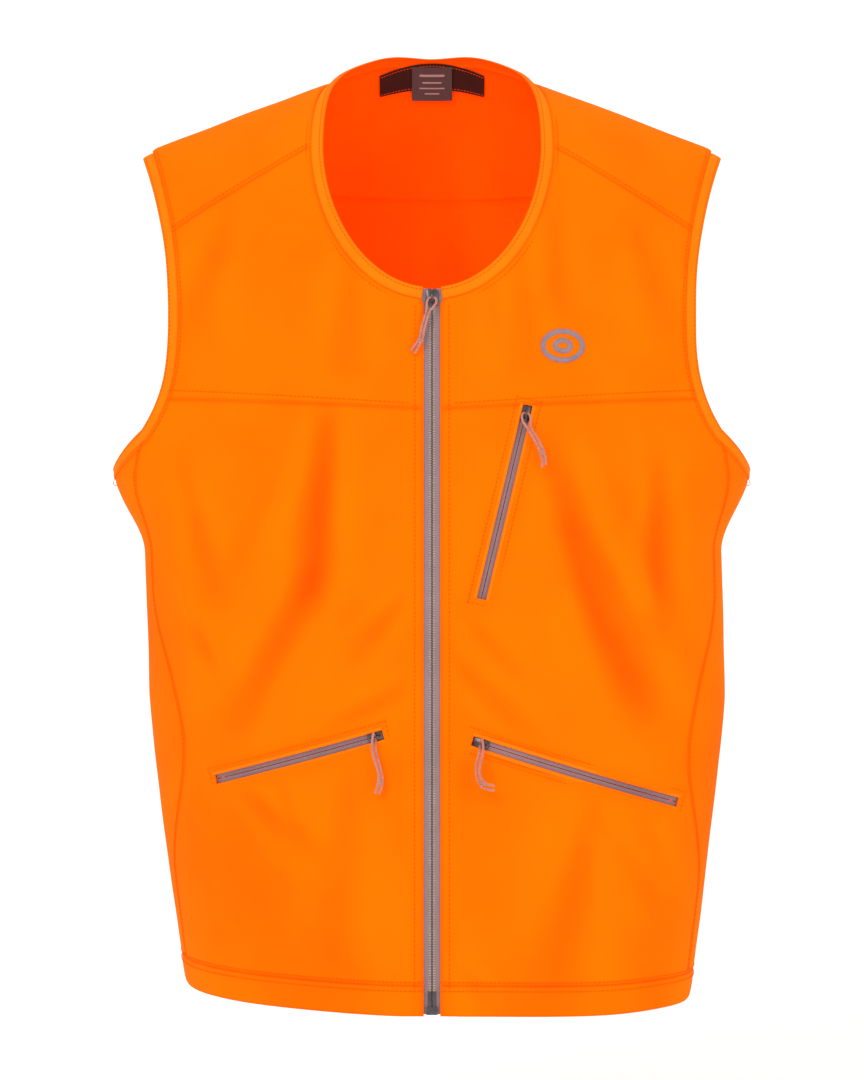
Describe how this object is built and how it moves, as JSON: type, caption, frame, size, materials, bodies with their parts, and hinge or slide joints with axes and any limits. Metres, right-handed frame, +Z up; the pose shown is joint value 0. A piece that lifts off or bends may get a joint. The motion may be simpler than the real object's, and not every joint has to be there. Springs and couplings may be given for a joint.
{
  "type": "zip-front vest",
  "caption": "Blaze orange sleeveless field vest in worn shape, with a full-length front zip, a slanted chest pocket and zipped hand pockets on knotted cord pulls.",
  "frame": {"origin": "midway between the shoulders, level with the side of the neck", "axes": "+Z up, the front faces -Y, the wearer's left is +X"},
  "size_m": [0.4812, 0.3018, 0.7145],
  "materials": {
    "shell_fabric": "matt",
    "zip_tape": "matt",
    "zip_teeth": "satin",
    "nickel": "polished",
    "cord": "matt",
    "pocket_mesh": "matt",
    "neck_tape": "matt",
    "label": "satin",
    "badge_thread": "satin"
  },
  "bodies": {
    "garment": {"back_panel": "shell_fabric", "back_yoke": "shell_fabric", "side_panel_left": "shell_fabric", "side_panel_right": "shell_fabric", "chest_panel_left": "shell_fabric", "chest_panel_right": "shell_fabric", "front_panel_left": "shell_fabric", "front_panel_right": "shell_fabric", "neck_band": "shell_fabric", "armhole_band_left": "shell_fabric", "armhole_band_right": "shell_fabric", "hem_band": "shell_fabric", "neck_tape": "neck_tape", "size_label": "label", "chest_badge": "badge_thread", "wind_flap": "shell_fabric", "front_tape_left": "zip_tape", "front_tape_right": "zip_tape", "front_teeth_left": "zip_teeth", "front_teeth_right": "zip_teeth", "front_top_stops": "nickel", "front_retainer_box": "nickel", "front_insertion_pin": "nickel", "chest_tapes": "zip_tape", "chest_teeth": "zip_teeth", "chest_end_stops": "nickel", "chest_pocket_bag": "pocket_mesh", "hand_left_tapes": "zip_tape", "hand_left_teeth": "zip_teeth", "hand_left_end_stops": "nickel", "hand_left_bag": "pocket_mesh", "hand_right_tapes": "zip_tape", "hand_right_teeth": "zip_teeth", "hand_right_end_stops": "nickel", "hand_right_bag": "pocket_mesh"},
    "front_slider": {"front_slider": "nickel"},
    "front_pull": {"front_cord": "cord", "front_knot": "cord"},
    "chest_slider": {"chest_slider": "nickel"},
    "chest_pull": {"chest_cord": "cord", "chest_knot": "cord"},
    "hand_left_slider": {"hand_left_slider": "nickel"},
    "hand_left_pull": {"hand_left_cord": "cord", "hand_left_knot": "cord"},
    "hand_right_slider": {"hand_right_slider": "nickel"},
    "hand_right_pull": {"hand_right_cord": "cord", "hand_right_knot": "cord"}
  },
  "joints": [
    {"name": "front_slider_travel", "type": "slide", "parent": "garment", "child": "front_slider", "axis": [0, -0.0619, -0.9981], "range_m": [0, 0.495]},
    {"name": "chest_slider_travel", "type": "slide", "parent": "garment", "child": "chest_slider", "axis": [-0.2344, -0.0773, -0.9691], "range_m": [0, 0.129]},
    {"name": "hand_left_slider_travel", "type": "hinge", "parent": "garment", "child": "hand_left_slider", "pos_m": [0.08251, 0.07397, -0.50159], "axis": [0.2936, 0, 0.9559], "range_deg": [0, 37.3]},
    {"name": "hand_right_slider_travel", "type": "hinge", "parent": "garment", "child": "hand_right_slider", "pos_m": [0.02125, 0.16529, -0.4643], "axis": [0.287, 0, -0.9579], "range_deg": [0, 24.1]},
    {"name": "front_pull_swing", "type": "hinge", "parent": "front_slider", "child": "front_pull", "pos_m": [0, -0.12069, -0.16985], "axis": [-1, 0, 0], "range_deg": [0, 100]},
    {"name": "chest_pull_swing", "type": "hinge", "parent": "chest_slider", "child": "chest_pull", "pos_m": [0.06711, -0.12135, -0.25269], "axis": [-1, 0, 0], "range_deg": [0, 80]},
    {"name": "hand_left_pull_swing", "type": "hinge", "parent": "hand_left_slider", "child": "hand_left_pull", "pos_m": [0.03439, -0.14069, -0.48681], "axis": [-0.2182, -0.9736, 0.067], "range_deg": [-35, 45]},
    {"name": "hand_right_pull_swing", "type": "hinge", "parent": "hand_right_slider", "child": "hand_right_pull", "pos_m": [-0.04055, -0.13384, -0.48281], "axis": [-0.2019, -0.9775, -0.0605], "range_deg": [-45, 35]}
  ]
}
